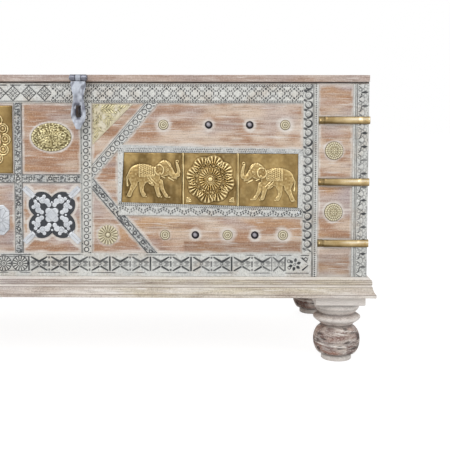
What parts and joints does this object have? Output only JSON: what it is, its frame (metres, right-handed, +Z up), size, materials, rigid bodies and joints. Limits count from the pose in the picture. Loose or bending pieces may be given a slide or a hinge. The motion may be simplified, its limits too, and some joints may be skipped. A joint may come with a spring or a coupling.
{
  "type": "dowry chest",
  "caption": "Low wide wooden chest on turned feet with a hinged lid, hasps, a carved front, embossed brass tiles and brass corner straps.",
  "frame": {"origin": "on the floor, under the middle of the whole chest's bounding box", "axes": "+X to the right along the width as one stands before the chest, +Y from the front to the back, +Z up"},
  "size_m": [1.228, 0.4352, 0.45],
  "materials": {
    "aged_wood": "satin, worn lime-washed hardwood",
    "plinth_wood": "satin, pale worn hardwood",
    "foot_wood": "satin, turned hardwood",
    "carved_strip": "matte, pale wash over dark stamped ground",
    "embossed_brass": "aged, embossed sheet",
    "brass_fitting": "aged",
    "silvered_metal": "pressed thin sheet",
    "iron_fitting": "dark, worn bright on the edges"
  },
  "bodies": {
    "chest": {"front_board": "aged_wood", "back_board": "aged_wood", "side_board_left": "aged_wood", "side_board_right": "aged_wood", "floor_board": "aged_wood", "floor_battens": "aged_wood", "corner_blocks": "aged_wood", "plinth_front": "plinth_wood", "plinth_back": "plinth_wood", "plinth_left": "plinth_wood", "plinth_right": "plinth_wood", "foot_front_left": "foot_wood", "foot_front_right": "foot_wood", "foot_rear_left": "foot_wood", "foot_rear_right": "foot_wood", "top_rail": "carved_strip", "bottom_rail": "carved_strip", "inner_stile_left": "carved_strip", "inner_stile_right": "carved_strip", "field_stile_left": "carved_strip", "field_stile_right": "carved_strip", "end_stile_left": "carved_strip", "end_stile_right": "carved_strip", "corner_stile_left": "carved_strip", "corner_stile_right": "carved_strip", "cross_rails": "carved_strip", "upper_brace_left": "carved_strip", "upper_brace_right": "carved_strip", "lower_brace_left": "carved_strip", "lower_brace_right": "carved_strip", "tile_frame_left": "carved_strip", "tile_frame_right": "carved_strip", "brass_tiles_left": "embossed_brass", "brass_tiles_right": "embossed_brass", "centre_brass_panel": "embossed_brass", "oval_medallions": "brass_fitting", "corner_gussets": "brass_fitting", "ring_studs": "brass_fitting", "small_nails": "brass_fitting", "brass_straps_left": "brass_fitting", "brass_straps_right": "brass_fitting", "strap_nails": "brass_fitting", "centre_silver_plate": "silvered_metal", "fret_plates": "silvered_metal", "daisy_rosettes": "silvered_metal", "round_bosses": "silvered_metal", "dome_nails": "iron_fitting", "staples": "iron_fitting", "hinge_leaves_chest": "iron_fitting", "hinge_pins": "iron_fitting", "hinge_screws_chest": "iron_fitting"},
    "lid": {"lid_board": "aged_wood", "lid_cleats": "aged_wood", "hinge_leaves_lid": "iron_fitting", "hinge_screws_lid": "iron_fitting", "hasp_eye_plates": "iron_fitting", "hasp_pins": "iron_fitting"},
    "hasp_left": {"hasp_left": "iron_fitting"},
    "hasp_right": {"hasp_right": "iron_fitting"}
  },
  "joints": [
    {"name": "lid_hinge", "type": "hinge", "parent": "chest", "child": "lid", "pos_m": [0, 0.2079, 0.43985], "axis": [-1, 0, 0], "range_deg": [0, 100]},
    {"name": "hasp_left_hinge", "type": "hinge", "parent": "lid", "child": "hasp_left", "pos_m": [-0.1575, -0.2126, 0.445], "axis": [-1, 0, 0], "range_deg": [-10.5, 228]},
    {"name": "hasp_right_hinge", "type": "hinge", "parent": "lid", "child": "hasp_right", "pos_m": [0.1575, -0.2126, 0.445], "axis": [-1, 0, 0], "range_deg": [-10.5, 228]}
  ]
}
